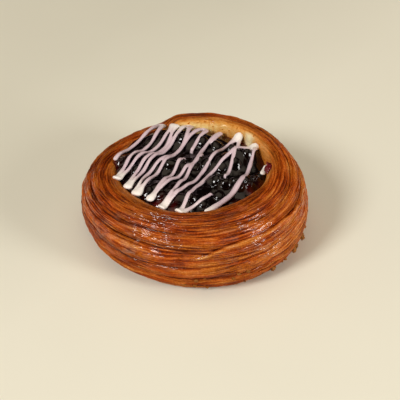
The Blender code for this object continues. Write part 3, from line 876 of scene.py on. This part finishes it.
def finish_icing(piece, node, material):
    """Set how creamy each point is: most at the turns on the dough, least over the filling."""
    spots = np.empty(3 * len(piece.data.vertices), dtype=np.float32)
    piece.data.vertices.foreach_get("co", spots)
    spots = spots.reshape(-1, 3) / MM
    cream = np.full(len(spots), DROP_CREAM if node == "icing_drop" else 0.0)
    for (x, y), share in zip(turn_places()[0], CREAM_TURNS):
        apart = np.hypot(spots[:, 0] - x, spots[:, 1] - y) / CREAM_REACH
        cream = np.maximum(cream, share * np.exp(-(apart**2)))
    piece.data.attributes.new("cream", "FLOAT", "POINT").data.foreach_set("value", cream.astype(np.float32))
    piece.data.materials.append(material)
    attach(piece, "root")
    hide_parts(node)


# --- Crumbs and the squashed berry on the rim -----------------------------------------------------

CRUMB_COUNT, CRUMB_SEED = 26, 5
CRUMB_SIZE = 0.55 * SIZE
BIG_CRUMBS = ((-21.5, 9.5, 1.7), (-31.5, 8.5, 1.5), (-47.0, 6.0, 1.4), (-46.5, 4.6, 1.1), (-29.0, 9.0, 1.1))
RIM_BERRY = (35.0, -0.8, 2.4)


def lump(centre, size, squash, seed):
    """Points and faces of a small uneven lump round a centre."""
    ball = bmesh.new()
    bmesh.ops.create_icosphere(ball, subdivisions=3, radius=1.0)
    turn = Vector((0.0, 0.0, 1.0)).rotation_difference(Vector(centre).normalized())
    points = []
    for corner in ball.verts:
        uneven = 1.0 + 0.8 * noise.noise(corner.co * 1.8 + Vector((seed, 0.0, 0.0)))
        squashed = Vector(side * part for side, part in zip(corner.co, squash))
        points.append(Vector(centre) + size * uneven * (turn @ squashed))
    faces = [[corner.index for corner in face.verts] for face in ball.faces]
    ball.free()
    return points, faces


def make_crumbs():
    """Loose flakes that cling to the lower part of the ring, most of them at the front right."""
    rng = np.random.default_rng(CRUMB_SEED)
    spots = [(angle, height, size) for angle, height, size in BIG_CRUMBS]
    for _ in range(CRUMB_COUNT):
        spots.append((rng.uniform(-120.0, 10.0), rng.uniform(2.0, 13.0), rng.uniform(0.4, 0.9)))
    points, faces = [], []
    for place, (degrees, height, size) in enumerate(spots):
        lean = math.asin(height * SIZE / BULGE_HEIGHT - 1.0)
        bulge = float(bulge_radius(degrees))
        radius = FOOT_SHARE * bulge + (1.0 - FOOT_SHARE) * bulge * math.cos(lean)
        angle = math.radians(degrees)
        radius += 0.35 * size * CRUMB_SIZE
        centre = (radius * math.cos(angle), radius * math.sin(angle), height * SIZE)
        some_points, some_faces = lump(centre, size * CRUMB_SIZE * 2.0, (1.0, 0.75, 0.5), 7.3 * place)
        faces += [[corner + len(points) for corner in face] for face in some_faces]
        points += some_points
    crumbs = mesh_object("crumbs", [tuple(point) for point in points], faces)
    n = Nodes("crumbs")
    place = n.add("ShaderNodeTexCoord").outputs["Object"]
    colour = n.ramp(n.noise(place, 900.0, 2.0), ((0.3, (0.16, 0.048, 0.004)), (0.7, (0.36, 0.13, 0.015))))
    crumbs.data.materials.append(n.finish(Base_Color=colour, Roughness=0.6, Specular_IOR_Level=0.2))
    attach(crumbs, "root")


def make_rim_berry():
    x, y, size = (value * SIZE for value in RIM_BERRY)
    points, faces = lump((x, y, float(lip_top(x, y)) + 0.25 * size), size, (0.85, 1.2, 0.65), 3.0)
    berry = mesh_object("rim_berry", [tuple(point) for point in points], faces)
    n = Nodes("rim_berry")
    berry.data.materials.append(n.finish(Base_Color=(0.13, 0.006, 0.010, 1.0), Roughness=0.15))
    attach(berry, "root")


# --- The stage ------------------------------------------------------------------------------------


def make_floor():
    half = 1500.0
    corners = [(-half, -half, 0.0), (half, -half, 0.0), (half, half, 0.0), (-half, half, 0.0)]
    floor = mesh_object("floor", corners, [[0, 1, 2, 3]])
    floor.data.materials.append(floor_material())
    floor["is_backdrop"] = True


def area_light(name, direction, distance, size, power, colour):
    light = bpy.data.lights.new(name, "AREA")
    light.shape, light.size, light.energy, light.color = "DISK", size, power, colour
    lamp = bpy.data.objects.new(name, light)
    place = Vector(direction).normalized() * distance
    lamp.location = place
    lamp.rotation_euler = (-place).to_track_quat("-Z", "Y").to_euler()
    bpy.context.scene.collection.objects.link(lamp)


# The studio's soft light: dark ahead and behind, bright at the sides and overhead. The first number is how
# far a direction points sideways or up, and the second how bright it is there.
SURROUNDINGS = ((0.0, 0.02), (0.74, 0.02), (0.89, 0.80), (1.0, 1.02))
SURROUNDINGS_COLOUR = (1.0, 0.84, 0.66)


def make_lights():
    area_light("key", (-0.57, -0.56, 0.62), 2.2, 0.72, 33.0, (1.0, 0.97, 0.95))
    area_light("fill", (0.80, -0.48, 0.37), 1.2, 0.40, 7.0, (1.0, 0.97, 0.95))
    world = bpy.data.worlds.new("studio")
    bpy.context.scene.world = world
    world.use_nodes = True
    tree = world.node_tree
    place = tree.nodes.new("ShaderNodeTexCoord").outputs["Generated"]
    parts = tree.nodes.new("ShaderNodeSeparateXYZ")
    aside = tree.nodes.new("ShaderNodeMath")
    highest = tree.nodes.new("ShaderNodeMath")
    ramp = tree.nodes.new("ShaderNodeValToRGB")
    aside.operation, highest.operation = "ABSOLUTE", "MAXIMUM"
    tree.links.new(place, parts.inputs[0])
    tree.links.new(parts.outputs["X"], aside.inputs[0])
    tree.links.new(aside.outputs[0], highest.inputs[0])
    tree.links.new(parts.outputs["Z"], highest.inputs[1])
    tree.links.new(highest.outputs[0], ramp.inputs[0])
    while len(ramp.color_ramp.elements) < len(SURROUNDINGS):
        ramp.color_ramp.elements.new(0.5)
    for element, (at, bright) in zip(ramp.color_ramp.elements, SURROUNDINGS):
        element.position, element.color = at, (*(bright * part for part in SURROUNDINGS_COLOUR), 1.0)
    tree.links.new(ramp.outputs[0], tree.nodes["Background"].inputs["Color"])


CAMERA_TARGET = Vector((2.8, -2.9, 18.0)) * MM
CAMERA_ELEVATION, CAMERA_DISTANCE, CAMERA_LENS = 37.0, 0.531, 100.0


def make_camera():
    camera = bpy.data.cameras.new("camera")
    camera.lens, camera.sensor_width = CAMERA_LENS, 36.0
    camera.clip_start, camera.clip_end = 0.01, 20.0
    eye = bpy.data.objects.new("camera", camera)
    lean = math.radians(CAMERA_ELEVATION)
    eye.location = CAMERA_TARGET + CAMERA_DISTANCE * Vector((0.0, -math.cos(lean), math.sin(lean)))
    eye.rotation_euler = (math.pi / 2.0 - lean, 0.0, 0.0)
    bpy.context.scene.collection.objects.link(eye)
    bpy.context.scene.camera = eye


def main():
    bpy.context.scene.view_settings.view_transform = "Standard"
    make_camera()
    make_floor()
    make_lights()
    make_crust()
    make_filling()
    icing = icing_material()
    make_icing(icing)
    make_drop(icing)
    make_crumbs()
    make_rim_berry()
    bpy.context.view_layer.update()
    sizes = {"cad": CAD_BOX, "visual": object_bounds()}
    {key: [list(map(float, corner)) for corner in box] for key, box in sizes.items()}


main()
